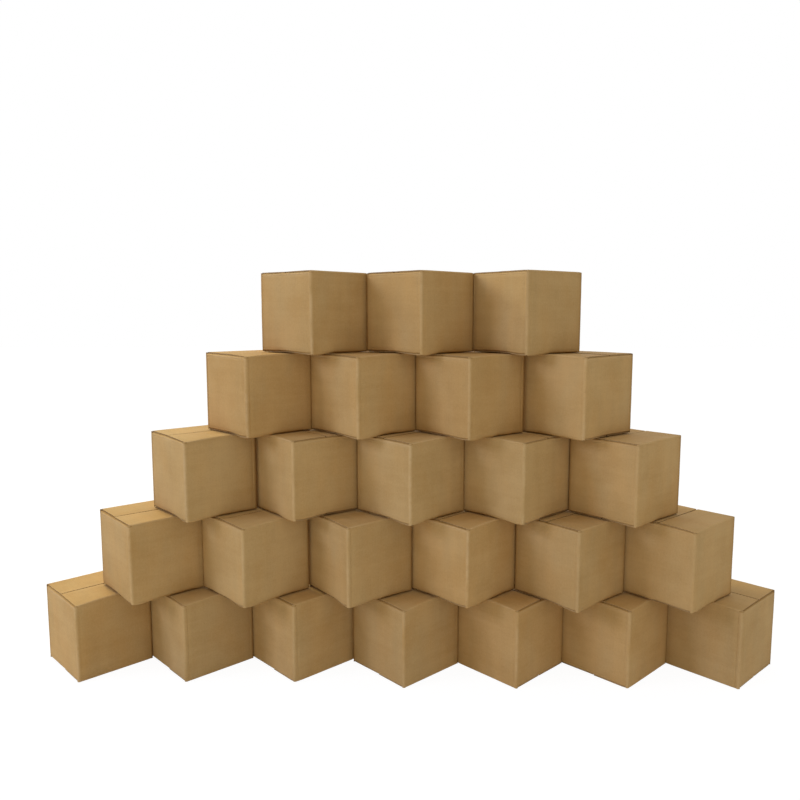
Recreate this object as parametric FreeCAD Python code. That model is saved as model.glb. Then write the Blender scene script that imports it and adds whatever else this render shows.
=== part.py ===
import FreeCAD, Part
import math
import os

# A stepped stack of 25 closed cube cartons of corrugated board, in millimetres.
# Five levels of 7, 6, 5, 4 and 3 cartons stand corner-on to the viewer, who looks along +Y.
# Every carton above the floor rests on a quarter of each of the two below it.
# The origin is the middle of the stack's bounding box, on the floor, with +Z up.

# Driving dimensions of one carton
INSIDE = 152.4         # clear length, width and depth inside, a 6 inch cube
BOARD = 3.0            # single-wall corrugated board
INNER_FOLD = 1.0       # radius inside the folds between two walls
SEAM = 1.5             # gap where two flaps meet in the middle
OUTER_FLAP_CUT = 2.5   # how far an outer flap's cut end stops short of the wall it lies over
INNER_FLAP_GAP = 1.0   # clearance between an inner flap and the wall beside it
GLUE_TAB = 30.0        # width of the glued lap that closes the four walls
GLUE_TAB_GAP = 2.0     # clearance between the glued lap and the flaps above and below it

# How the cartons stand
CORNER_GAP = 0.3       # between the corners of two cartons that stand evenly side by side

# Sizes that follow
SIDE = INSIDE + 2 * BOARD              # outside width, both ways
HEIGHT = INSIDE + 4 * BOARD            # two layers of flaps below and two above
WALL_FOLD = INNER_FOLD + BOARD         # outer radius of the upright folds
FLAP_FOLD = BOARD                      # outer radius of a flap's fold
CREASE = HEIGHT - BOARD                # height of the crease that an outer top flap turns on
OUTER_FLAP_WIDTH = SIDE - 2 * OUTER_FLAP_CUT
INNER_FLAP_WIDTH = INSIDE - 2 * INNER_FLAP_GAP
CORNER_TO_CORNER = math.sqrt(2) * SIDE - 2 * WALL_FOLD * (math.sqrt(2) - 1)
PITCH = CORNER_TO_CORNER + CORNER_GAP  # from one carton to the next along a level

# Which of the two near sides shows the flap ends: the seam runs into that side.
SEAM_TO_LEFT = 45.0
SEAM_TO_RIGHT = -45.0

# Each level from the floor up, its cartons from left to right. A carton was set down by hand, so
# it is pushed right and back of its even place and turned a little (millimetres and degrees).
LEVELS = (
    ((-6, 2, 1, SEAM_TO_LEFT), (-10, 12, 0, SEAM_TO_LEFT), (-12, 18, 0, SEAM_TO_LEFT),
     (-13, 4, 0, SEAM_TO_LEFT), (-14, 10, 1, SEAM_TO_RIGHT), (-15, 18, 1, SEAM_TO_LEFT),
     (-16, 24, 0, SEAM_TO_RIGHT)),
    ((6, -1, -2, SEAM_TO_LEFT), (5, -8, 1, SEAM_TO_LEFT), (0, 2, -6, SEAM_TO_LEFT),
     (-4, 5, 2, SEAM_TO_LEFT), (-6, -4, -2, SEAM_TO_LEFT), (-8, -2, -2, SEAM_TO_LEFT)),
    ((4, 18, -2, SEAM_TO_LEFT), (-2, 26, -4, SEAM_TO_RIGHT), (-3, 12, 1, SEAM_TO_LEFT),
     (-5, 22, 1, SEAM_TO_RIGHT), (-7, 12, -2, SEAM_TO_LEFT)),
    ((8, 44, 0, SEAM_TO_LEFT), (8, 42, -1, SEAM_TO_LEFT), (7, 28, -3, SEAM_TO_LEFT),
     (7, 36, -3, SEAM_TO_RIGHT)),
    ((15, 62, 5, SEAM_TO_LEFT), (15, 64, 2, SEAM_TO_LEFT), (14, 62, -6, SEAM_TO_LEFT)),
)

# Outer top flaps with nothing on them, as (level, carton, side of its seam).
# The far side of a seam that runs to the left is the carton's back left wall, and so on.
NEAR = -1
FAR = 1
FREE_FLAPS = (
    (1, 1, FAR), (1, 7, FAR),
    (2, 6, NEAR),
    (3, 5, NEAR),
    (5, 1, NEAR), (5, 1, FAR), (5, 2, NEAR), (5, 2, FAR), (5, 3, NEAR), (5, 3, FAR),
)


def vector(x, y, z):
    return FreeCAD.Vector(x, y, z)


def slab(x_low, x_high, y_low, y_high, z_low, z_high):
    """A plain block between two corners."""
    size = (x_high - x_low, y_high - y_low, z_high - z_low)
    return Part.makeBox(*size, vector(x_low, y_low, z_low))


def quarter_bend(centre_y, centre_z, radius, start, turn):
    """A quarter circle in the YZ plane, from the angle start, turning by +90 or -90 degrees."""
    angles = [math.radians(start + turn * share) for share in (0.0, 0.5, 1.0)]
    points = [vector(0, centre_y + radius * math.cos(a), centre_z + radius * math.sin(a))
              for a in angles]
    return Part.Arc(*points).toShape()


def folded_strip(low, high, width, folded_top):
    """The board of one wall with its bottom flap, and with its top flap where folded_top is true.

    The strip stands at +Y. Its outer faces are at y = SIDE / 2 and at the heights low and high,
    and it is as wide along X as the flaps are cut.
    """
    wall = SIDE / 2
    bend = wall - FLAP_FOLD
    edge = SEAM / 2

    def run(y_from, z_from, y_to, z_to):
        return Part.LineSegment(vector(0, y_from, z_from), vector(0, y_to, z_to)).toShape()

    edges = [run(edge, low, bend, low), quarter_bend(bend, low + FLAP_FOLD, FLAP_FOLD, -90, 90)]
    if folded_top:
        edges += [
            run(wall, low + FLAP_FOLD, wall, high - FLAP_FOLD),
            quarter_bend(bend, high - FLAP_FOLD, FLAP_FOLD, 0, 90),
            run(bend, high, edge, high),
            run(edge, high, edge, high - BOARD),
            run(edge, high - BOARD, wall - BOARD, high - BOARD),
            run(wall - BOARD, high - BOARD, wall - BOARD, low + BOARD),
        ]
    else:
        edges += [
            run(wall, low + FLAP_FOLD, wall, high - BOARD),
            run(wall, high - BOARD, wall - BOARD, high - BOARD),
            run(wall - BOARD, high - BOARD, wall - BOARD, low + BOARD),
        ]
    edges += [run(wall - BOARD, low + BOARD, edge, low + BOARD), run(edge, low + BOARD, edge, low)]
    profile = Part.Face(Part.Wire(edges))
    profile.translate(vector(-width / 2, 0, 0))
    return profile.extrude(vector(width, 0, 0))


def turned(shape, degrees):
    """A copy of the shape, turned about the carton's upright middle line."""
    copy = shape.copy()
    copy.rotate(vector(0, 0, 0), vector(0, 0, 1), degrees)
    return copy


def wall_ring():
    """The four walls with their upright folds, between the inner flaps' two creases."""
    low = 2 * BOARD
    high = HEIGHT - 2 * BOARD
    outside = slab(-SIDE / 2, SIDE / 2, -SIDE / 2, SIDE / 2, low, high)
    inside = slab(-INSIDE / 2, INSIDE / 2, -INSIDE / 2, INSIDE / 2, low, high)

    def rounded(block, radius):
        upright = [edge for edge in block.Edges
                   if abs(edge.Vertexes[0].X - edge.Vertexes[1].X) < BOARD
                   and abs(edge.Vertexes[0].Y - edge.Vertexes[1].Y) < BOARD]
        return block.makeFillet(radius, upright)

    return rounded(outside, WALL_FOLD).cut(rounded(inside, INNER_FOLD))


def glue_tab():
    """The lap inside the far wall that holds the carton closed as a ring."""
    low = 2 * BOARD + GLUE_TAB_GAP
    high = HEIGHT - 2 * BOARD - GLUE_TAB_GAP
    start = -INSIDE / 2
    back = INSIDE / 2
    return slab(start, start + GLUE_TAB, back - BOARD, back, low, high)


def carton(free_sides):
    """One closed carton about its own middle, without the top flaps named in free_sides.

    Its seam runs along X. The outer flaps fold from the walls at -Y and +Y, over the inner flaps
    that fold from the walls at -X and +X.
    """
    pieces = [glue_tab()]
    for side in (NEAR, FAR):
        half_turn = 0 if side == FAR else 180
        outer = folded_strip(0.0, HEIGHT, OUTER_FLAP_WIDTH, side not in free_sides)
        inner = folded_strip(BOARD, CREASE, INNER_FLAP_WIDTH, True)
        pieces.append(turned(outer, half_turn))
        pieces.append(turned(inner, half_turn + 90))
    return wall_ring().fuse(pieces).removeSplitter()


def free_flap(side):
    """One outer top flap, from its crease on the wall to the seam."""
    wall = SIDE / 2
    bend = wall - FLAP_FOLD
    edge = SEAM / 2
    corners = ((wall, CREASE), (edge, CREASE), (edge, HEIGHT), (bend, HEIGHT))
    runs = [Part.LineSegment(vector(0, *a), vector(0, *b)).toShape()
            for a, b in zip(corners, corners[1:])]
    fold = quarter_bend(bend, HEIGHT - FLAP_FOLD, FLAP_FOLD, 90, -90)
    profile = Part.Face(Part.Wire(runs + [fold]))
    profile.translate(vector(-OUTER_FLAP_WIDTH / 2, 0, 0))
    flap = profile.extrude(vector(OUTER_FLAP_WIDTH, 0, 0))
    return turned(flap, 0 if side == FAR else 180)


def stand(shape, level, number):
    """The shape of one carton or flap, moved to where that carton stands in the stack."""
    row = LEVELS[level - 1]
    push_right, push_back, turn, seam = row[number - 1]
    even_x = (number - 1 - (len(row) - 1) / 2) * PITCH
    placed = turned(shape, seam + turn)
    placed.translate(vector(even_x + push_right, push_back, (level - 1) * HEIGHT))
    return placed


def build():
    """Every piece of the stack by name, about the middle of its bounding box."""
    pieces = {}
    for level, row in enumerate(LEVELS, 1):
        for number in range(1, len(row) + 1):
            free = [side for a, b, side in FREE_FLAPS if (a, b) == (level, number)]
            name = f"level{level}_box{number}"
            pieces[name] = stand(carton(free), level, number)
            for side in free:
                word = "near" if side == NEAR else "far"
                pieces[f"{name}_{word}_flap"] = stand(free_flap(side), level, number)
    bounds = Part.makeCompound(list(pieces.values())).BoundBox
    middle = vector(-(bounds.XMin + bounds.XMax) / 2, -(bounds.YMin + bounds.YMax) / 2, 0)
    for shape in pieces.values():
        shape.translate(middle)
    return pieces, middle


def main():
    os.makedirs("parts", exist_ok=True)
    pieces, _ = build()
    for name, shape in pieces.items():
        shape.exportStep(f"parts/{name}.step")
    print(len(pieces), "pieces")


if __name__ == "__main__":
    main()
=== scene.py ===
"""A stepped stack of 25 closed kraft cartons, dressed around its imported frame.

Every carton is one folded sheet of corrugated board: four walls round a ring, a flap on each
wall's two creases, slots between the flaps and a glued joint at one upright fold. The sheet is
folded up with bmesh operators, given its thickness, settled a little out of true as a carton in
use is, and stood where the frame has it. Flaps that can open are pieces of their own.
"""
from __future__ import annotations

import cmath
import logging
import math
import random
from dataclasses import dataclass, field
from enum import Enum
from typing import Any, Iterable, Sequence

import bmesh
import bpy
from mathutils import Matrix, Vector, noise

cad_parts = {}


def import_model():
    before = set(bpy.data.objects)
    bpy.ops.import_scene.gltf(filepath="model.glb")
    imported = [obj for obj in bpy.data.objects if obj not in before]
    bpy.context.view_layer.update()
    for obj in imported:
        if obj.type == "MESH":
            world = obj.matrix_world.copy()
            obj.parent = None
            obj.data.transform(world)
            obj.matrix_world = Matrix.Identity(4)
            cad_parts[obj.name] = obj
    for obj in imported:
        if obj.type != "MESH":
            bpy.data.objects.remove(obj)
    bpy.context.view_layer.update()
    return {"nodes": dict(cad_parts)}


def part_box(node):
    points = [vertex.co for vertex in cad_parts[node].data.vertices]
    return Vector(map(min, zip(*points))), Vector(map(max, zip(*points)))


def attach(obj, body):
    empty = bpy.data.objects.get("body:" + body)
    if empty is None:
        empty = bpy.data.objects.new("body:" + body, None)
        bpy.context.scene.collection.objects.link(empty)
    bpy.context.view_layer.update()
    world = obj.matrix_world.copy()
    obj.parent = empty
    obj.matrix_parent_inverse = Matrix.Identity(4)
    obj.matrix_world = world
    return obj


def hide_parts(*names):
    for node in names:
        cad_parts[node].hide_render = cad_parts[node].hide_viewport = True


log = logging.getLogger("carton_stack")

Colour = tuple[float, float, float, float]
Place = tuple[float, float, float]
Span = tuple[float, float]

MM = 0.001
BOARD_UV = "board"
TONE = "tone"
CAST = "cast"
RUB_AND_HIGHLIGHT = "rub_and_highlight"
PAINTED_SHADE = "painted_shade"
WHITE: Colour = (1.0, 1.0, 1.0, 1.0)

FLUTE_PITCH = 6.4 * MM
SCORE_BESIDE = 4.0 * MM
# How far in from a panel's end its first grid lines stand. The third is the scored line.
INSETS = (SCORE_BESIDE - 2.3 * MM, SCORE_BESIDE - 1.1 * MM, SCORE_BESIDE, SCORE_BESIDE + 2.0 * MM)
WALL_STRIPS = 17
FOLD_STEPS = 4
FOLD_PANEL = 10
PANEL_APART = 0.3
SAME_LINE = 0.1 * MM
SIDE_CORNER = 0.7


def ramp(value: float, start: float, end: float) -> float:
    """How far a value has come from start to end, held between 0 and 1."""
    return min(1.0, max(0.0, (value - start) / (end - start)))


class Signal:
    """One output of a shader node, with arithmetic that adds the Math nodes it needs."""

    def __init__(self, kit: NodeKit, socket: bpy.types.NodeSocket) -> None:
        self.kit = kit
        self.socket = socket

    def _math(self, operation: str, *values: Any) -> Signal:
        """A Math node on the values, in their order."""
        return self.kit.node("ShaderNodeMath", {"operation": operation}, dict(enumerate(values)))

    def __add__(self, other: Any) -> Signal:
        """self + other."""
        return self._math("ADD", self, other)

    def __radd__(self, other: Any) -> Signal:
        """other + self."""
        return self._math("ADD", other, self)

    def __sub__(self, other: Any) -> Signal:
        """self - other."""
        return self._math("SUBTRACT", self, other)

    def __rsub__(self, other: Any) -> Signal:
        """other - self."""
        return self._math("SUBTRACT", other, self)

    def __mul__(self, other: Any) -> Signal:
        """self * other."""
        return self._math("MULTIPLY", self, other)

    def __rmul__(self, other: Any) -> Signal:
        """other * self."""
        return self._math("MULTIPLY", other, self)

    def sine(self) -> Signal:
        """The sine of this value, in radians."""
        return self._math("SINE", self)

    def absolute(self) -> Signal:
        """This value without its sign."""
        return self._math("ABSOLUTE", self)

    def rise(self, low: float, high: float) -> Signal:
        """A smooth step of this value.

        Args:
            low: Where the step leaves 0.
            high: Where it reaches 1. It may be less than low, for a step down.

        Returns:
            The step, from 0 to 1.
        """
        ends = (low, high, 0.0, 1.0) if low < high else (high, low, 1.0, 0.0)
        values = {"Value": self, "From Min": ends[0], "From Max": ends[1],
                  "To Min": ends[2], "To Max": ends[3]}
        return self.kit.node("ShaderNodeMapRange", {"interpolation_type": "SMOOTHSTEP"}, values)


@dataclass(frozen=True)
class Grain:
    """One layer of noise in the board, and how strongly it shows.

    The spots are per metre, across the flutes and along them.
    """

    across: float
    along: float
    detail: float = 2.0
    roughness: float = 0.5
    tint: float = 0.0
    light: float = 0.0
    height: float = 0.0


class NodeKit:
    """Adds nodes to one tree."""

    def __init__(self, tree: bpy.types.NodeTree) -> None:
        """Empties the tree."""
        self.tree = tree
        tree.nodes.clear()

    def node(self, kind: str, settings: dict[str, Any] | None = None,
             values: dict[str | int, Any] | None = None, output: str | int = 0) -> Signal:
        """Adds one node.

        Args:
            kind: The node's Blender type.
            settings: Its own settings, which are set before its sockets.
            values: A number, colour or Signal for each input socket, by name or place.
            output: The output socket to hand back, by name or place.

        Returns:
            That output.
        """
        new = self.tree.nodes.new(kind)
        for name, value in (settings or {}).items():
            setattr(new, name, value)
        for name, value in (values or {}).items():
            if isinstance(value, Signal):
                self.tree.links.new(value.socket, new.inputs[name])
            else:
                new.inputs[name].default_value = value
        return Signal(self, new.outputs[output] if new.outputs else None)

    def blend(self, factor: Any, first: Any, second: Any, kind: str = "MIX") -> Signal:
        """A mix of two colours by a factor."""
        return self.node("ShaderNodeMix", {"data_type": "RGBA", "blend_type": kind},
                         {0: factor, 6: first, 7: second}, output=2)

    def scale(self, colour: Any, amount: Any) -> Signal:
        """A colour times a number."""
        return self.node("ShaderNodeVectorMath", {"operation": "SCALE"},
                         {0: colour, "Scale": amount})

    def attribute(self, name: str) -> Signal:
        """A number that the mesh carries."""
        return self.node("ShaderNodeAttribute", {"attribute_name": name}, output="Fac")

    def cloud(self, place: Signal, grain: Grain) -> Signal:
        """One layer of noise.

        Args:
            place: The place on the board, in metres.
            grain: The layer.

        Returns:
            The noise, from 0 to 1.
        """
        spots = (grain.across, grain.along, 1.0)
        stretched = self.node("ShaderNodeMapping", values={"Vector": place, "Scale": spots})
        return self.node("ShaderNodeTexNoise", values={
            "Vector": stretched, "Scale": 1.0, "Detail": grain.detail,
            "Roughness": grain.roughness})

    def surface(self, **values: Any) -> None:
        """Ends a material in a Principled shader.

        Args:
            values: What goes into its sockets, each named with underscores for spaces.
        """
        named = {name.replace("_", " "): value for name, value in values.items()}
        shader = self.node("ShaderNodeBsdfPrincipled", values=named)
        self.node("ShaderNodeOutputMaterial", values={"Surface": shader})


def new_material(name: str) -> tuple[bpy.types.Material, NodeKit]:
    """Makes an empty material.

    Args:
        name: Its name.
    """
    material = bpy.data.materials.new(name)
    material.use_nodes = True
    return material, NodeKit(material.node_tree)


@dataclass(frozen=True)
class KraftLiner:
    """The smooth brown face of the board."""

    paper: Colour = (0.535, 0.346, 0.140, 1.0)
    shade: Colour = (0.450, 0.275, 0.096, 1.0)
    # The colour of rubbed paper, which also serves as a painted highlight on the folds.
    rubbed_and_highlight: Colour = (0.660, 0.480, 0.262, 1.0)
    # The colour of the painted shade where cartons touch.
    painted_shade: Colour = (0.225, 0.098, 0.006, 1.0)
    fleck: Colour = (0.17, 0.10, 0.05, 1.0)
    warm: Colour = (1.026, 0.985, 0.925, 1.0)
    cool: Colour = (0.982, 1.008, 1.045, 1.0)
    mottle: Grain = Grain(11.0, 11.0, 3.0, 0.55, tint=1.6, height=0.5)
    pulp: Grain = Grain(260.0, 190.0, 4.0, 0.6, tint=0.7, height=0.20)
    fibres: Grain = Grain(70.0, 900.0, 3.0, 0.6, light=0.16, height=0.16)
    rolled: Grain = Grain(3.0, 75.0, tint=0.5)
    ribs: Grain = Grain(55.0, 5.0, light=0.11)
    flecks: Grain = Grain(620.0, 900.0, 1.0)
    washes: Grain = Grain(22.0, 9.0, tint=2.0)
    scuffs: Grain = Grain(170.0, 70.0, 3.0, 0.6, height=0.2)
    patches: Grain = Grain(14.0, 17.0, 1.0)
    mean_tint: float = 0.42
    mean_light: float = 0.955
    tone_light: float = 0.09
    flute_light: float = 0.005
    flute_height: float = 0.035
    fleck_share: float = 0.35
    rubbed_and_highlight_share: float = 0.70
    painted_shade_share: float = 0.60
    relief: float = 0.25 * MM
    bump: float = 0.55
    roughness: float = 0.74
    pulp_roughness: float = 0.22
    worn_roughness: float = 0.1
    gloss: float = 0.22

    def material(self) -> bpy.types.Material:
        """Builds the finish: mottled pulp, fibres, soft rolling streaks, flutes, rubbed folds
        that also carry a painted highlight, and painted shade where cartons touch.

        Returns:
            The material.
        """
        material, kit = new_material("kraft_liner")
        place = kit.node("ShaderNodeUVMap", {"uv_map": BOARD_UV})
        across = kit.node("ShaderNodeSeparateXYZ", values={0: place}, output="X")
        flutes = (across * (2 * math.pi / FLUTE_PITCH)).sine()
        mottle = kit.cloud(place, self.mottle)
        pulp = kit.cloud(place, self.pulp)
        fibres = kit.cloud(place, self.fibres)
        scuffs = kit.cloud(place, self.scuffs)
        tint = ((mottle - 0.5) * self.mottle.tint + (pulp - 0.5) * self.pulp.tint
                + (kit.cloud(place, self.rolled) - 0.5) * self.rolled.tint + self.mean_tint)
        colour = kit.blend(tint.rise(-0.1, 1.1), self.paper, self.shade)
        light = (self.mean_light + (fibres - 0.5) * self.fibres.light
                 + (kit.cloud(place, self.ribs) - 0.5) * self.ribs.light
                 + flutes * self.flute_light + kit.attribute(TONE) * self.tone_light)
        colour = kit.scale(colour, light)
        washed = (kit.cloud(place, self.washes) - 0.5) * self.washes.tint
        cast = kit.blend(kit.attribute(CAST) + washed, self.warm, self.cool)
        colour = kit.blend(1.0, colour, cast, "MULTIPLY")
        flecks = kit.cloud(place, self.flecks).rise(0.66, 0.74)
        colour = kit.blend(flecks * self.fleck_share, colour, self.fleck)
        # Rubbed paper on the folds and edges, lighter, which also serves as a painted highlight
        # there.
        patches = kit.cloud(place, self.patches).rise(0.20, 0.62)
        worn_and_highlight = kit.attribute(RUB_AND_HIGHLIGHT) * scuffs.rise(0.15, 0.60) * patches
        colour = kit.blend(worn_and_highlight * self.rubbed_and_highlight_share, colour, self.rubbed_and_highlight)
        # Painted shade: darker where cartons touch, below the outer flaps' cut ends and along the
        # foot of a carried carton.
        colour = kit.blend(kit.attribute(PAINTED_SHADE) * self.painted_shade_share, colour, self.painted_shade)
        height = (flutes * self.flute_height + fibres * self.fibres.height
                  + pulp * self.pulp.height + mottle * self.mottle.height
                  + scuffs * self.scuffs.height)
        bump = kit.node("ShaderNodeBump", values={
            "Strength": self.bump, "Distance": self.relief, "Height": height})
        roughness = (self.roughness + (pulp - 0.5) * self.pulp_roughness
                     + worn_and_highlight * self.worn_roughness)
        kit.surface(Base_Color=colour, Roughness=roughness, Specular_IOR_Level=self.gloss,
                    Normal=bump)
        return material


@dataclass(frozen=True)
class CutEdge:
    """The sunk strip along a cut end of the board: the wavy middle layer between two liners, with
    painted shade in the open flutes between its waves.
    """

    layer: Colour = (0.50, 0.33, 0.150, 1.0)
    flute_cavity_shade: Colour = (0.23, 0.13, 0.045, 1.0)
    grain: Grain = Grain(900.0, 3.0, 2.0, 0.6, light=0.3)
    swing: float = 0.36
    mean_light: float = 0.85
    painted_shade_light: float = 0.35
    roughness: float = 0.9
    gloss: float = 0.15

    def material(self) -> bpy.types.Material:
        """Builds the finish from the strip's own map: U along the cut, V from liner to liner.

        Returns:
            The material.
        """
        material, kit = new_material("kraft_cut_edge")
        place = kit.node("ShaderNodeUVMap", {"uv_map": BOARD_UV})
        along = kit.node("ShaderNodeSeparateXYZ", values={0: place}, output="X")
        depth = kit.node("ShaderNodeSeparateXYZ", values={0: place}, output="Y")
        wave = (along * (2 * math.pi / FLUTE_PITCH)).sine() * self.swing + 0.5
        layer = (depth - wave).absolute().rise(0.30, 0.10)
        # Painted shade: the open flutes between the waves are painted dark.
        colour = kit.blend(layer, self.flute_cavity_shade, self.layer)
        # The cut ends take the painted shade too.
        light = (self.mean_light + kit.cloud(place, self.grain) * self.grain.light
                 - kit.attribute(PAINTED_SHADE) * self.painted_shade_light)
        kit.surface(Base_Color=kit.scale(colour, light), Roughness=self.roughness,
                    Specular_IOR_Level=self.gloss)
        return material


class Side(Enum):
    """The carton's four walls, by how many quarter turns clockwise they stand from +Y."""

    FAR = 0
    RIGHT = 1
    NEAR = 2
    LEFT = 3

    @property
    def outer(self) -> bool:
        """Whether this wall's flaps are the outer ones."""
        return self in (Side.FAR, Side.NEAR)

    @property
    def turn(self) -> Matrix:
        """The turn from the wall at +Y to this one."""
        return Matrix.Rotation(math.radians(-90.0 * self.value), 3, "Z")


class Seam(Enum):
    """Which front side the seam runs into, as the carton's turn in degrees."""

    LEFT = 45.0
    RIGHT = -45.0


@dataclass(frozen=True)
class CartonSizes:
    """Sizes of one closed carton, in metres, about its own middle."""

    side: float = 158.4 * MM
    height: float = 164.4 * MM
    board: float = 3.0 * MM
    thickness: float = 2.8 * MM
    wall_fold: float = 4.4 * MM
    flap_fold: float = 3.0 * MM
    seam: float = 1.2 * MM
    outer_flap: float = 153.4 * MM
    slot_drop: float = 0.7 * MM
    joint_gap: float = 1.2 * MM
    joint_lap: float = 30.0 * MM
    lap_inset: float = 1.0 * MM
    lap_behind: float = 0.1 * MM
    liner: float = 0.45 * MM
    sunk: float = 0.7 * MM
    score: float = 0.4 * MM

    @property
    def reach(self) -> float:
        """From the middle to a wall's outer face."""
        return self.side / 2

    @property
    def straight(self) -> float:
        """From the middle of a wall to where its upright fold starts."""
        return self.side / 2 - self.wall_fold

    @property
    def top(self) -> float:
        """From mid height to the outer flaps' outer face."""
        return self.height / 2

    @property
    def crease(self) -> float:
        """From mid height to where an outer flap's fold starts."""
        return self.height / 2 - self.flap_fold


def wall_stations(half: float, gap: float = 0.0) -> list[float]:
    """Where a panel's grid lines stand across its flutes, closer together beside its ends.

    Args:
        half: From the panel's middle to its ends.
        gap: How far the first one stops short of its end.

    Returns:
        The places, from the first end to the other.
    """
    reach = half - INSETS[-1]
    middle = [-reach + 2 * reach * step / WALL_STRIPS for step in range(1, WALL_STRIPS)]
    ends = [half - inset for inset in INSETS]
    return [-half + gap, *(-end for end in ends), *middle, *reversed(ends), half]


class Sheet:
    """A sheet of board being folded, seen as its outer face until it gets its thickness."""

    flap_rows = (0.025, 0.14, 0.26, 0.38, 0.5, 0.62, 0.74, 0.86, 0.98, 1.0)

    def __init__(self, sizes: CartonSizes) -> None:
        """Starts with nothing.

        Args:
            sizes: The carton's sizes.
        """
        self.sizes = sizes
        self.bm = bmesh.new()
        self.panel = self.bm.faces.layers.int.new("panel")
        self.uv = self.bm.loops.layers.uv.new(BOARD_UV)

    def line(self, stations: Sequence[float], y: float, z: float) -> list[bmesh.types.BMEdge]:
        """Edges along X through these stations."""
        points = [self.bm.verts.new((x, y, z)) for x in stations]
        return [self.bm.edges.new(pair) for pair in zip(points, points[1:])]

    def pull(self, edges: Iterable[bmesh.types.BMEdge], move: Sequence[float],
             shares: Sequence[float]) -> list[bmesh.types.BMEdge]:
        """Extrudes edges in several steps.

        Args:
            edges: The edges to start from.
            move: The whole way.
            shares: How far along the way each step ends, from 0 to 1.

        Returns:
            The edges at the end.
        """
        edges, done = list(edges), 0.0
        for share in shares:
            made = bmesh.ops.extrude_edge_only(self.bm, edges=edges)["geom"]
            points = {item for item in made if isinstance(item, bmesh.types.BMVert)}
            edges = [item for item in made if isinstance(item, bmesh.types.BMEdge)
                     and points.issuperset(item.verts)]
            bmesh.ops.translate(self.bm, verts=list(points), vec=Vector(move) * (share - done))
            done = share
        return edges

    def fold(self, edges: Iterable[bmesh.types.BMEdge], centre: Sequence[float],
             axis: Sequence[float], degrees: float) -> list[bmesh.types.BMEdge]:
        """Spins edges round a fold.

        Args:
            edges: The edges where the fold starts.
            centre: A point on the fold's axis.
            axis: The axis.
            degrees: How far it folds.

        Returns:
            The edges where the fold ends.
        """
        edges = list(edges)
        points = list({point for edge in edges for point in edge.verts})
        made = bmesh.ops.spin(self.bm, geom=points + edges, cent=centre, axis=axis,
                              angle=math.radians(degrees), steps=FOLD_STEPS)["geom_last"]
        return [item for item in made if isinstance(item, bmesh.types.BMEdge)]

    def add_flap(self, head: list[bmesh.types.BMEdge], side: Side) -> None:
        """Folds a flap in from the wall at +Y and runs it to the seam.

        Args:
            head: The wall's top edge.
            side: The wall that it stands for. An outer flap is cut narrower than its wall.
        """
        sizes, before = self.sizes, set(self.bm.verts)
        fold_height = head[0].verts[0].co.z
        centre = (0.0, sizes.reach - sizes.flap_fold, fold_height)
        edges = self.fold(head, centre, (1.0, 0.0, 0.0), 90.0)
        way = sizes.reach - sizes.flap_fold - sizes.seam / 2
        self.pull(edges, (0.0, -way, 0.0), self.flap_rows)
        if side.outer:
            flat = [point for point in self.bm.verts if point not in before
                    and point.co.z > fold_height + sizes.flap_fold - SAME_LINE]
            wide = sizes.outer_flap / 2 / sizes.straight
            bmesh.ops.scale(self.bm, vec=(wide, 1.0, 1.0), verts=flat)

    def label(self, before: set[bmesh.types.BMFace], number: int) -> None:
        """Marks the faces made since before as parts of one panel.

        Args:
            before: The faces that were there already.
            number: The panel's wall, plus FOLD_PANEL for the upright fold beside it.
        """
        for face in self.bm.faces:
            if face not in before:
                face[self.panel] = number

    def finish(self) -> None:
        """Turns the faces outwards, lays the board's map and gives the sheet its thickness."""
        bmesh.ops.recalc_face_normals(self.bm, faces=self.bm.faces[:])
        highest = max(self.bm.faces, key=lambda face: face.calc_center_median().z)
        if highest.normal.z < 0:
            bmesh.ops.reverse_faces(self.bm, faces=self.bm.faces[:])
        self.lay_map()
        self.thicken()

    def lay_map(self) -> None:
        """Lays the board's map in metres: U round the carton, V along the flutes."""
        reach = self.sizes.reach
        for face in self.bm.faces:
            side, is_fold = face[self.panel] % FOLD_PANEL, face[self.panel] >= FOLD_PANEL
            for loop in face.loops:
                x, y, z = loop.vert.co
                round_way, inward = (x, reach - abs(y)) if side % 2 == 0 else (y, reach - abs(x))
                depth = 0.0 if is_fold else max(0.0, inward)
                loop[self.uv].uv = (round_way + PANEL_APART * side,
                                    math.copysign(abs(z) + depth, z))

    def thicken(self) -> None:
        """Gives the sheet its thickness and sinks its cut ends between the two liners."""
        sizes, bm = self.sizes, self.bm
        faces = list(bm.faces)
        faces_set = set(faces)
        rim_edges = [edge for edge in bm.edges if edge.is_boundary]
        outside = {point for face in faces for point in face.verts}
        bmesh.ops.solidify(bm, geom=faces, thickness=sizes.thickness)
        rim = {face for edge in rim_edges for face in edge.link_faces if face not in faces_set}
        for face in rim:
            panel = next(other[self.panel] for edge in face.edges for other in edge.link_faces
                         if other in faces_set)
            side = panel % 2
            face.normal_update()
            cross_cut = abs(face.normal[side]) < 0.5
            for loop in face.loops:
                along = loop.vert.co[side] if cross_cut else 0.0
                loop[self.uv].uv = (along, 0.0 if loop.vert in outside else 1.0)
        bmesh.ops.inset_region(bm, faces=list(rim), use_boundary=True, use_even_offset=True,
                               use_interpolate=True, thickness=sizes.liner, depth=-sizes.sunk)
        for face in rim:
            face.material_index = 1


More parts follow.
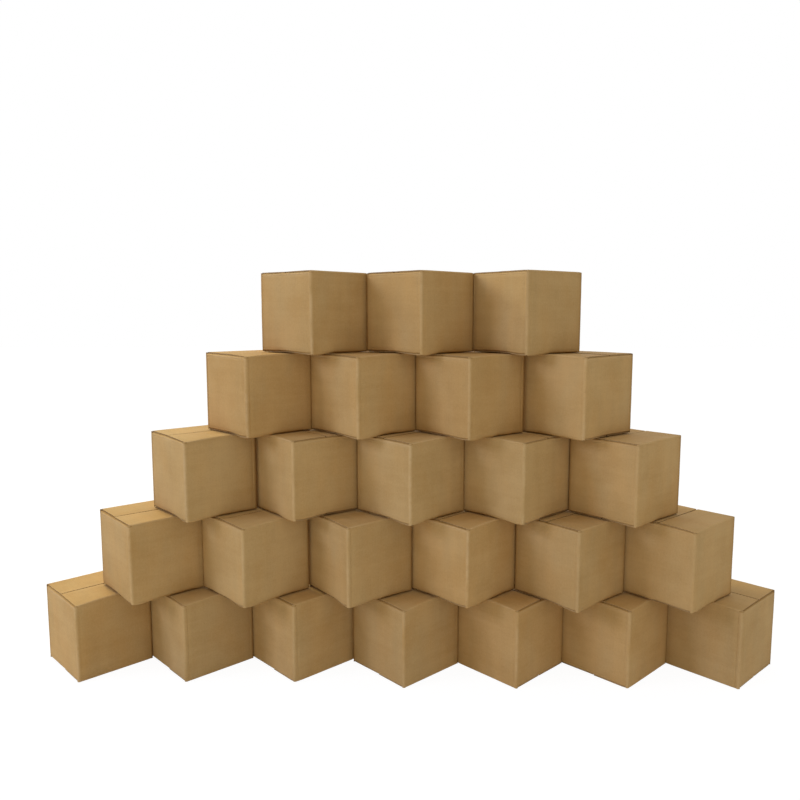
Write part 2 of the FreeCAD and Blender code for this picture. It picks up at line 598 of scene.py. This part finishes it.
class FoldedCarton:
    """One carton's sheet, folded and closed, without the flaps that are pieces of their own."""

    wall_rows = (0.1312, 0.2625, 0.3937, 0.5249, 0.6562, 0.7874,
                 0.9055, 0.9606, 0.9764, 0.9895, 1.0)
    inner_score = wall_rows[-3]
    lip_rows = (0.34, 0.67, 1.0)
    merge = 0.05 * MM
    lap_share = 0.9

    def __init__(self, sizes: CartonSizes, free: frozenset[Side]) -> None:
        """Folds the sheet.

        Args:
            sizes: The carton's sizes.
            free: The sides whose outer top flap is left out.
        """
        self.sizes = sizes
        self.sheet = Sheet(sizes)
        bm = self.sheet.bm
        self.half(frozenset())
        bmesh.ops.scale(bm, vec=(1.0, 1.0, -1.0), verts=bm.verts[:])
        self.half(free)
        bmesh.ops.remove_doubles(bm, verts=bm.verts[:], dist=self.merge)
        self.sheet.finish()
        self.add_lap()

    def half(self, free: frozenset[Side]) -> None:
        """Adds the four walls above mid height with their flaps.

        Each wall is made at +Y and turned to its side, so the ones before it are never touched.

        Args:
            free: The sides whose outer flap is left out.
        """
        sizes, sheet = self.sizes, self.sheet
        ring_top = sizes.crease - sizes.board
        for side in Side:
            faces, points = set(sheet.bm.faces), set(sheet.bm.verts)
            gap = sizes.joint_gap if side is Side.FAR else 0.0
            foot = sheet.line(wall_stations(sizes.straight, gap), sizes.reach, 0.0)
            head = sheet.pull(foot, (0.0, 0.0, ring_top), self.wall_rows)
            end = [edge for edge in sheet.bm.edges
                   if not points.intersection(edge.verts)
                   and all(abs(point.co.x - sizes.straight) < SAME_LINE for point in edge.verts)]
            score = ring_top * self.inner_score
            if side.outer:
                head = sheet.pull(head, (0.0, 0.0, sizes.board), self.lip_rows)
                score = ring_top + sizes.board * self.lip_rows[0]
            self.press_score(points, score)
            if side not in free:
                sheet.add_flap(head, side)
            sheet.label(faces, side.value)
            faces, flat = set(sheet.bm.faces), set(sheet.bm.verts)
            sheet.fold(end, (sizes.straight, sizes.straight, 0.0), (0.0, 0.0, 1.0), -90.0)
            self.raise_corner(flat, ring_top)
            sheet.label(faces, side.value + FOLD_PANEL)
            made = [point for point in sheet.bm.verts if point not in points]
            bmesh.ops.rotate(sheet.bm, verts=made, cent=(0.0, 0.0, 0.0), matrix=side.turn)

    def raise_corner(self, flat: set[bmesh.types.BMVert], ring_top: float) -> None:
        """Runs the upright fold on to the slot between its two flaps, above the ring's top.

        Args:
            flat: The points that aren't part of the fold.
            ring_top: Where the ring ends.
        """
        level = [edge for edge in self.sheet.bm.edges
                 if all(abs(point.co.z - ring_top) < SAME_LINE for point in edge.verts)
                 and not flat.issuperset(edge.verts)]
        rise = self.sizes.top - self.sizes.slot_drop - ring_top
        self.sheet.pull(level, (0.0, 0.0, rise), (0.5, 1.0))

    def press_score(self, before: set[bmesh.types.BMVert], height: float) -> None:
        """Presses the crease's scored line into the wall just below its fold.

        Args:
            before: The points that were there before this wall.
            height: How high the line is.
        """
        for point in self.sheet.bm.verts:
            if (point not in before and abs(point.co.z - height) < SAME_LINE
                    and abs(point.co.x) < self.sizes.straight - 1.0 * MM):
                point.co.y -= self.sizes.score

    def add_lap(self) -> None:
        """Adds the glued lap behind the joint."""
        sizes, bm = self.sizes, self.sheet.bm
        depth = sizes.thickness - 2 * sizes.lap_behind
        inside = sizes.reach - sizes.thickness - sizes.lap_behind
        made = bmesh.ops.create_cube(bm, size=1.0)["verts"]
        size = (sizes.joint_lap, depth, self.lap_share * sizes.height)
        bmesh.ops.scale(bm, verts=made, vec=size)
        bmesh.ops.translate(bm, verts=made, vec=(
            -inside + sizes.joint_lap / 2 + sizes.lap_inset, inside - depth / 2, 0.0))


class LooseFlap:
    """One outer top flap as a piece of its own, from its crease to the seam."""

    def __init__(self, sizes: CartonSizes, side: Side) -> None:
        """Folds the flap.

        Args:
            sizes: The carton's sizes.
            side: The wall that it opens from.
        """
        self.sheet = Sheet(sizes)
        bm = self.sheet.bm
        head = self.sheet.line(wall_stations(sizes.straight), sizes.reach, sizes.crease)
        self.sheet.add_flap(head, side)
        self.sheet.label(set(), side.value)
        bmesh.ops.rotate(bm, verts=bm.verts[:], cent=(0.0, 0.0, 0.0), matrix=side.turn)
        self.sheet.finish()


@dataclass(frozen=True)
class Darkening:
    """Painted shade that fades with the distance from where two cartons touch, in millimetres."""

    strength: float
    clear: float
    fade: float

    def at(self, distance: float) -> float:
        """How dark it is this far off."""
        return self.strength * math.exp(-max(0.0, distance - self.clear * MM) / (self.fade * MM))


@dataclass(frozen=True)
class RubbingAndHighlight:
    """Rubbed paper, also a painted highlight, that ends some way beside an edge, in millimetres.
    """

    strength: float
    width: float

    def at(self, distance: float) -> float:
        """How strong the rubbing and painted highlight are this far off, below 0 where there is
        none.
        """
        return self.strength - distance / (self.width * MM)


@dataclass(frozen=True)
class Handling:
    """What use does to a carton, and where its painted shade and painted highlight fall, with
    lengths in millimetres.

    The first group holds the least and the most that a carton may get. The other pairs are an
    amount that every carton gets and how much a draw or the noise adds to it, except foot_held
    and groove_fade: where a ramp leaves 0 and where it reaches 1.
    """

    bulge: Span = (-0.5, 1.3)
    seam_dip: Span = (0.1, 1.3)
    seam_open: Span = (0.0, 0.9)
    rubbed_and_highlight: Span = (0.25, 1.0)
    sag: Span = (2.4, 4.6)
    groove: Span = (0.35, 1.0)
    droop: Span = (0.8, 5.0)
    scored: Span = (-0.1, 0.75)

    blunt_side: float = 0.4
    blunt_resting: Span = (0.2, 1.6)
    blunt_hanging: Span = (1.5, 1.7)
    blunt_reach: float = 9.0
    hanging_reach: float = 14.0
    hanging_upward: float = 1.7

    wander_waves: float = 22.0
    ripple_waves: float = 75.0
    fold_out: Span = (0.36, 0.40)
    face_ripple: float = 0.10
    lid_sink: float = 0.12
    lid_wander: float = 0.25
    lid_ripple: float = 0.08
    dip_fade: float = 0.4
    seam_skew: float = 0.7
    foot_round: Span = (0.8, 1.8)
    foot_radius: float = 6.0
    sag_from: float = 0.6
    droop_from: float = 0.45

    # Painted shade where two cartons touch and along a carried carton's foot.
    touch_shade: Darkening = Darkening(0.75, 4.4, 4.0)
    foot_shade: Darkening = Darkening(1.2, 2.2, 2.2)
    foot_held: Span = (0.95, 0.5)
    # Painted shade below the outer flaps' cut ends, on the inner-flap walls.
    groove_width: float = 7.0
    groove_top: float = 1.6
    groove_fade: Span = (5.0, 3.0)
    # Rubbed paper on the upright folds, the top, the lips of the inner-flap walls and beside the
    # seam, which also serves as a painted highlight on these edges.
    fold_rub_and_highlight: RubbingAndHighlight = RubbingAndHighlight(1.0, 6.0)
    head_rub_and_highlight: RubbingAndHighlight = RubbingAndHighlight(1.0, 3.5)
    lip_rub_and_highlight: RubbingAndHighlight = RubbingAndHighlight(0.8, 4.0)
    lip_depth: float = 6.5
    seam_rub_and_highlight: RubbingAndHighlight = RubbingAndHighlight(0.6, 3.0)


@dataclass
class Settling:
    """How one carton has gone out of true: bulged walls, sagged flaps and blunted corners."""

    sizes: CartonSizes
    draws: random.Random
    degrees: float
    carried: bool
    loaded: bool
    use: Handling = Handling()
    bulge: dict[tuple[int, int], float] = field(default_factory=dict)
    blunt: dict[tuple[int, int, int], float] = field(default_factory=dict)
    seam_dip: dict[tuple[int, int], float] = field(default_factory=dict)
    seam_open: dict[tuple[int, int], float] = field(default_factory=dict)
    scored: dict[tuple[int, float, float], float] = field(default_factory=dict)

    def __post_init__(self) -> None:
        """Draws the amounts, always in the same order."""
        use, ways = self.use, (-1, 1)
        for axis in (0, 1):
            for way in ways:
                self.bulge[axis, way] = self.drawn(use.bulge)
        for x in ways:
            for y in ways:
                for z in ways:
                    self.blunt[x, y, z] = self.blunted(x, y, z) * MM
        for y in ways:
            for z in ways:
                self.seam_dip[y, z] = self.drawn(use.seam_dip)
                self.seam_open[y, z] = self.drawn(use.seam_open)
        self.spot = Vector([self.draws.uniform(0.0, 50.0) for _ in range(3)])
        self.rubbed_and_highlight = self.draws.uniform(*use.rubbed_and_highlight)
        self.sag = self.drawn(use.sag)
        self.groove = self.draws.uniform(*use.groove)
        self.droop = self.drawn(use.droop)
        for out in (0, 1):
            for way in ways:
                for end in ways:
                    self.scored[out, way, end] = self.drawn(use.scored)

    def drawn(self, span: Span) -> float:
        """Draws a length from a span of millimetres, in metres."""
        return self.draws.uniform(*span) * MM

    def blunted(self, x: int, y: int, z: int) -> float:
        """Draws how far one corner is pushed in: most where it hangs free below.

        Args:
            x: The corner's side along X, -1 or 1.
            y: Its side along Y.
            z: Its side along Z.

        Returns:
            The push, in millimetres.
        """
        draw = self.draws.uniform(0.0, 1.0)
        sideways, _ = self.bearing(Vector((x, y, 0.0)) * self.sizes.reach)
        if sideways > SIDE_CORNER:
            return self.use.blunt_side * draw
        if z < 0 and self.carried:
            least, more = self.use.blunt_hanging
            return least + more * draw
        least, more = self.use.blunt_resting
        return least + more * draw ** 2

    def bearing(self, point: Vector) -> tuple[float, float]:
        """How far a point lies towards the stack's ends and towards its front.

        Args:
            point: The point, about the carton's middle.

        Returns:
            Both as shares of the way to the carton's corner there.
        """
        turn = math.radians(self.degrees)
        diagonal = self.sizes.reach * math.sqrt(2)
        sideways = abs(point.x * math.cos(turn) - point.y * math.sin(turn)) / diagonal
        forward = -(point.x * math.sin(turn) + point.y * math.cos(turn)) / diagonal
        return sideways, forward

    def rounding(self, point: Vector, amount: float) -> Vector:
        """How far a point beside a bottom edge is pushed in and up, to round that edge.

        Args:
            point: The point, about the carton's middle.
            amount: The push at the edge itself, in millimetres.

        Returns:
            The push.
        """
        height = point.z + self.sizes.top
        push = Vector()
        for axis in (0, 1):
            gap = math.hypot(self.sizes.reach - abs(point[axis]), height)
            near = amount * MM * math.exp(-(gap / (self.use.foot_radius * MM)) ** 2)
            push[axis] = -math.copysign(near, point[axis])
            push.z = max(push.z, near)
        return push

    def scoring(self, point: Vector) -> Vector:
        """How far a point on the line beside an upright fold is pressed in by the scoring tool.

        Args:
            point: The point, about the carton's middle.

        Returns:
            The push.
        """
        beside = self.sizes.straight - SCORE_BESIDE
        push = Vector()
        for across, out in ((0, 1), (1, 0)):
            on_line = abs(abs(point[across]) - beside) < 2 * SAME_LINE
            on_face = self.sizes.reach - abs(point[out]) < 2 * SAME_LINE
            if on_line and on_face and abs(point.z) < self.sizes.crease:
                key = (out, math.copysign(1, point[out]), math.copysign(1, point[across]))
                push[out] = -math.copysign(self.scored[key], point[out])
        return push

    def blunting(self, point: Vector, way: tuple[int, int, int]) -> Vector:
        """How far a point is pushed in by its corner's blow.

        Args:
            point: The point, about the carton's middle.
            way: The corner's sides along X, Y and Z.

        Returns:
            The push.
        """
        use, reach, top = self.use, self.sizes.reach, self.sizes.top
        hangs = way[2] < 0 and self.carried
        radius = (use.hanging_reach if hangs else use.blunt_reach) * MM
        corner = Vector((way[0] * reach, way[1] * reach, way[2] * top))
        near = math.exp(-((point - corner).length / radius) ** 2)
        outward = Vector((way[0], way[1], way[2] * (use.hanging_upward if hangs else 1.0)))
        return -outward.normalized() * (near * self.blunt[way])

    def move(self, point: Vector) -> Vector:
        """How far a point of the carton has moved, in the carton's own frame.

        Args:
            point: The point, about the carton's middle.

        Returns:
            The move.
        """
        use, reach, top = self.use, self.sizes.reach, self.sizes.top
        u, v, w = point.x / reach, point.y / reach, point.z / top
        way = tuple(1 if value >= 0 else -1 for value in (u, v, w))
        flat_u, flat_v = max(0.0, 1 - v * v), max(0.0, 1 - u * u)
        flat_w = max(0.0, 1 - w * w)
        wander = noise.noise_vector(point * use.wander_waves + self.spot)
        ripple = noise.noise_vector(point * use.ripple_waves + self.spot)
        moved = Vector((
            u * flat_u * flat_w * self.bulge[0, way[0]],
            v * flat_v * flat_w * self.bulge[1, way[1]],
            0.0))
        even, uneven = use.fold_out
        swell = use.face_ripple * MM
        moved.x += u ** 7 * (even + uneven * abs(wander.x)) * MM + swell * ripple.x * flat_u
        moved.y += v ** 7 * (even + uneven * abs(wander.y)) * MM + swell * ripple.y * flat_v
        cap, middle = abs(w) ** 8, 1 - abs(v)
        dip = self.seam_dip[way[1:]] * middle * (1 - use.dip_fade * u * u) + use.lid_sink * MM
        dip += use.lid_wander * MM * abs(wander.z) + use.lid_ripple * MM * abs(ripple.z)
        moved.y += way[1] * cap * middle * self.seam_open[way[1:]] * (1 + use.seam_skew * u)
        moved.z -= way[2] * cap * dip
        sideways, forward = self.bearing(point)
        if self.carried and way[2] < 0:
            even, uneven = use.foot_round
            amount = (even + uneven * abs(wander.x)) * (1 - sideways ** 6)
            moved += self.rounding(point, amount)
            hanging = ramp(forward, use.sag_from, 1.0)
            moved.z -= cap * self.sag * hanging ** 1.3 * (2.1 - 1.1 * hanging)
        if self.loaded and way[2] > 0:
            moved.z -= cap * self.droop * ramp(forward, use.droop_from, 1.0) ** 1.5
        return moved + self.scoring(point) + self.blunting(point, way)

    def soil_at(self, point: Vector) -> float:
        """How much painted shade the board gets at a point: where it touches its neighbours,
        below the flap ends on the inner-flap walls and along the foot of a carried carton.

        Args:
            point: The point, about the carton's middle.

        Returns:
            The painted shade, 0 where there is none.
        """
        use, sizes = self.use, self.sizes
        end_gap = sizes.reach - abs(point.x)
        gaps = sorted((end_gap, sizes.reach - abs(point.y)))
        depth = sizes.top - point.z
        sideways, forward = self.bearing(point)
        painted_shade = 0.0
        if sideways > SIDE_CORNER:
            painted_shade = use.touch_shade.at(gaps[1])
        if end_gap < use.groove_width * MM and depth > use.groove_top * MM:
            clean, dark = use.groove_fade
            painted_shade = max(painted_shade, self.groove * ramp(depth, clean * MM, dark * MM))
        if self.carried:
            foot = max(0.0, point.z + sizes.top, gaps[0])
            painted_shade = max(painted_shade, ramp(abs(forward), *use.foot_held) * use.foot_shade.at(foot))
        return painted_shade

    def wear_at(self, point: Vector) -> float:
        """How rubbed the board is at a point, with the painted highlight on its folds and edges.

        Args:
            point: The point, about the carton's middle.

        Returns:
            The rubbing and painted highlight, from 0 to 1 on its folds.
        """
        use, sizes = self.use, self.sizes
        end_gap = sizes.reach - abs(point.x)
        gaps = sorted((end_gap, sizes.reach - abs(point.y)))
        depth = sizes.top - point.z
        lip = abs(depth - use.lip_depth * MM) + max(0.0, end_gap)
        rub_and_highlight = max(0.0, use.fold_rub_and_highlight.at(max(0.0, gaps[1])),
                   use.head_rub_and_highlight.at(max(0.0, depth, gaps[0])), use.lip_rub_and_highlight.at(lip))
        if depth < 1.0 * MM:
            rub_and_highlight = max(rub_and_highlight, use.seam_rub_and_highlight.at(max(0.0, abs(point.y) - sizes.seam / 2)))
        return self.rubbed_and_highlight * rub_and_highlight


@dataclass(frozen=True)
class Standing:
    """Where one carton stands, as the frame has it."""

    middle: Vector
    degrees: float

    @staticmethod
    def read(name: str, node: bpy.types.Object, seam: Seam, height: float) -> Standing:
        """Reads the place from the node's box, up from its foot, and the turn from its walls.

        Args:
            name: The node's name.
            node: The node's object.
            seam: Which front side its seam runs into.
            height: The whole carton's, because a node may be without its top flaps.

        Returns:
            The place.
        """
        low, high = (Vector(corner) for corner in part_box(name))
        total = 0j
        for polygon in node.data.polygons:
            if abs(polygon.normal.z) < 0.1:
                angle = math.atan2(polygon.normal.y, polygon.normal.x)
                total += polygon.area * cmath.exp(4j * angle)
        walls = math.degrees(cmath.phase(total)) / 4 % 90.0
        middle = (low + high) / 2
        middle.z = low.z + height / 2
        return Standing(middle, seam.value + walls - 45.0)

    def matrix(self) -> Matrix:
        """From the carton's own frame to the row frame."""
        return Matrix.Translation(self.middle) @ Matrix.Rotation(
            math.radians(self.degrees), 4, "Z")


class Stack:
    """All the cartons and their loose flaps."""

    seam_to_right = ("level1_box5", "level1_box7", "level3_box2", "level3_box4", "level4_box4")
    first_seed = 7100
    cut_from = (2.0, 40.0)
    sharp = 38.0

    def __init__(self, nodes: dict[str, bpy.types.Object], sizes: CartonSizes) -> None:
        """Sorts the frame's nodes into cartons and flaps.

        Args:
            nodes: The frame's nodes.
            sizes: The sizes that all cartons share.
        """
        self.nodes = nodes
        self.sizes = sizes
        self.finishes = (KraftLiner().material(), CutEdge().material())
        self.flaps: dict[str, dict[Side, str]] = {}
        for name in sorted(nodes):
            level, box, *rest = name.split("_")
            sides = self.flaps.setdefault(f"{level}_{box}", {})
            if rest:
                sides[Side[rest[0].upper()]] = name
        self.folded: dict[frozenset[Side], FoldedCarton] = {}
        self.loose: dict[Side, LooseFlap] = {}

    def build(self) -> None:
        """Builds every piece, level by level."""
        for number, (name, flaps) in enumerate(sorted(self.flaps.items())):
            draws = random.Random(self.first_seed + number)
            seam = Seam.RIGHT if name in self.seam_to_right else Seam.LEFT
            standing = Standing.read(name, self.nodes[name], seam, self.sizes.height)
            carried = not name.startswith("level1")
            loaded = not name.startswith("level5")
            settling = Settling(self.sizes, draws, standing.degrees, carried, loaded)
            look = {TONE: draws.uniform(0.0, 1.0), CAST: draws.uniform(0.0, 1.0)}
            shift = Vector((draws.uniform(*self.cut_from), draws.uniform(*self.cut_from)))
            for node, body, sheet in self.sheets(name, flaps):
                piece = self.stand(sheet, node, standing, settling, look, shift)
                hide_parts(node)
                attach(piece, body)
                log.info("%s rides on %s with %d faces", piece.name, body,
                         len(piece.data.polygons))

    def sheets(self, name: str, flaps: dict[Side, str]) -> list[tuple[str, str, Sheet]]:
        """The folded sheets of one carton, each folded once for all the cartons that share it.

        Args:
            name: The carton's node.
            flaps: The nodes of its loose flaps, by the wall that each opens from.

        Returns:
            A node, its body and its sheet, for the carton and then each flap.
        """
        free = frozenset(flaps)
        if free not in self.folded:
            self.folded[free] = FoldedCarton(self.sizes, free)
        sheets = [(name, "root", self.folded[free].sheet)]
        for side, flap in flaps.items():
            if side not in self.loose:
                self.loose[side] = LooseFlap(self.sizes, side)
            sheets.append((flap, flap, self.loose[side].sheet))
        return sheets

    def stand(self, sheet: Sheet, node: str, standing: Standing, settling: Settling,
              look: dict[str, float], shift: Vector) -> bpy.types.Object:
        """Makes one piece from a folded sheet.

        Args:
            sheet: The folded sheet, about the carton's middle.
            node: The node that the piece stands for.
            standing: Where its carton stands.
            settling: How its carton has gone out of true.
            look: How light and how cool its board is, each from 0 to 1.
            shift: Where on the endless board its sheet was cut, in metres.

        Returns:
            The piece.
        """
        bm = sheet.bm.copy()
        places = [point.co.copy() for point in bm.verts]
        # Painted shade where cartons touch; the rubbing and painted highlight are left out
        # wherever that shade lies.
        painted_shade = [settling.soil_at(place) for place in places]
        rub_and_highlight = [settling.wear_at(place) * (1.0 - min(1.0, dark))
                for place, dark in zip(places, painted_shade)]
        for point, place in zip(bm.verts, places):
            point.co = place + settling.move(place)
        bm.transform(standing.matrix())
        layer = bm.loops.layers.uv[BOARD_UV]
        for face in bm.faces:
            face.smooth = True
            if face.material_index == 0:
                for loop in face.loops:
                    loop[layer].uv += shift
        mesh = bpy.data.meshes.new(f"{node}_board")
        bm.to_mesh(mesh)
        bm.free()
        mesh.set_sharp_from_angle(angle=math.radians(self.sharp))
        values = {RUB_AND_HIGHLIGHT: rub_and_highlight, PAINTED_SHADE: painted_shade}
        values |= {name: [value] * len(rub_and_highlight) for name, value in look.items()}
        for name, amounts in values.items():
            mesh.attributes.new(name, "FLOAT", "POINT").data.foreach_set("value", amounts)
        for finish in self.finishes:
            mesh.materials.append(finish)
        piece = bpy.data.objects.new(f"{node}_board", mesh)
        bpy.context.scene.collection.objects.link(piece)
        return piece


@dataclass(frozen=True)
class SoftLamp:
    """A square lamp that looks at a point of the stack."""

    name: str
    place: Place
    aim: Place
    size: float
    power: float
    colour: tuple[float, float, float]

    def hang(self) -> None:
        """Adds the lamp to the scene."""
        lamp = bpy.data.lights.new(self.name, "AREA")
        lamp.size = self.size
        lamp.energy = self.power
        lamp.color = self.colour
        holder = bpy.data.objects.new(self.name, lamp)
        holder.location = self.place
        way = Vector(self.aim) - Vector(self.place)
        holder.rotation_euler = way.to_track_quat("-Z", "Y").to_euler()
        bpy.context.scene.collection.objects.link(holder)


@dataclass(frozen=True)
class Studio:
    """White ground, soft lamps and the camera."""

    lamps: tuple[SoftLamp, ...] = (
        SoftLamp("window_lamp", place=(-6.3, -2.5, 3.4), aim=(0.0, 0.0, 0.4), size=2.2,
                 power=110.0, colour=(0.92, 1.03, 1.55)),
        SoftLamp("warm_lamp", place=(-1.75, 1.20, 1.9), aim=(-0.7, 0.0, 0.2), size=0.8,
                 power=33.0, colour=(1.0, 0.90, 0.52)),
    )
    ambient: float = 0.77
    left_share: float = 0.55
    right_share: float = 0.62
    left_fade: Span = (-0.95, -0.2)
    right_fade: Span = (0.2, 0.95)
    sky: Colour = (1.0, 0.987, 0.965, 1.0)
    ground: float = 14.0
    matt: Colour = (0.86, 0.86, 0.86, 1.0)
    shown: float = 0.85
    shown_light: float = 1.10
    lens: float = 33.52
    eye: Place = (0.0430, -1.5329, 0.7390)
    down: float = 6.67
    left: float = 2.16

    def build(self) -> None:
        """Sets up the world, the ground, the lamps and the camera."""
        self.add_world()
        self.add_ground()
        for lamp in self.lamps:
            lamp.hang()
        self.add_camera()

    @staticmethod
    def seen(kit: NodeKit) -> Signal:
        """Where the ground or the world is looked at, straight or in a reflection.


        Returns:
            1 where it is, and 0 where it only gives light.
        """
        paths = [kit.node("ShaderNodeLightPath", output=name)
                 for name in ("Is Camera Ray", "Is Glossy Ray", "Is Transmission Ray")]
        return (paths[0] + paths[1] + paths[2]).rise(0.0, 1.0)

    def add_world(self) -> None:
        """White where it is seen, and an even soft light everywhere else."""
        world = bpy.data.worlds.new("studio_white")
        world.use_nodes = True
        bpy.context.scene.world = world
        kit = NodeKit(world.node_tree)
        way = kit.node("ShaderNodeTexCoord", output="Generated")
        rightward = kit.node("ShaderNodeSeparateXYZ", values={0: way}, output="X")
        from_left = rightward.rise(*self.left_fade) * (1.0 - self.left_share) + self.left_share
        from_right = 1.0 - rightward.rise(*self.right_fade) * (1.0 - self.right_share)
        seen = self.seen(kit)
        light = seen + (1.0 - seen) * (from_left * from_right) * self.ambient
        shader = kit.node("ShaderNodeBackground", values={
            "Color": kit.blend(seen, self.sky, WHITE), "Strength": light})
        kit.node("ShaderNodeOutputWorld", values={"Surface": shader})

    def add_ground(self) -> None:
        """A pale floor that shows white and keeps a faint shadow of the stack."""
        bm = bmesh.new()
        bmesh.ops.create_grid(bm, x_segments=2, y_segments=2, size=self.ground)
        mesh = bpy.data.meshes.new("ground")
        bm.to_mesh(mesh)
        bm.free()
        material, kit = new_material("white_ground")
        matt = kit.node("ShaderNodeBsdfDiffuse", values={"Color": self.matt})
        white = kit.node("ShaderNodeEmission", values={
            "Color": WHITE, "Strength": self.shown_light})
        shader = kit.node("ShaderNodeMixShader", values={
            0: self.seen(kit) * self.shown, 1: matt, 2: white})
        kit.node("ShaderNodeOutputMaterial", values={"Surface": shader})
        mesh.materials.append(material)
        ground = bpy.data.objects.new("ground", mesh)
        bpy.context.scene.collection.objects.link(ground)

    def add_camera(self) -> None:
        """Adds the camera at the photograph's place and angle."""
        camera = bpy.data.cameras.new("camera")
        camera.lens = self.lens
        camera.sensor_width = 36.0
        camera.clip_start = 0.05
        camera.clip_end = 100.0
        holder = bpy.data.objects.new("camera", camera)
        holder.location = self.eye
        holder.rotation_euler = (math.radians(90.0 - self.down), 0.0, math.radians(self.left))
        bpy.context.scene.collection.objects.link(holder)
        bpy.context.scene.camera = holder


def main() -> None:
    """Loads the frame, dresses it and sets up the studio."""
    logging.basicConfig(level=logging.INFO, format="%(name)s: %(message)s")
    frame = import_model()
    bpy.context.scene.view_settings.view_transform = "Standard"
    Stack(frame["nodes"], CartonSizes()).build()
    Studio().build()


if __name__ == "__main__":
    main()
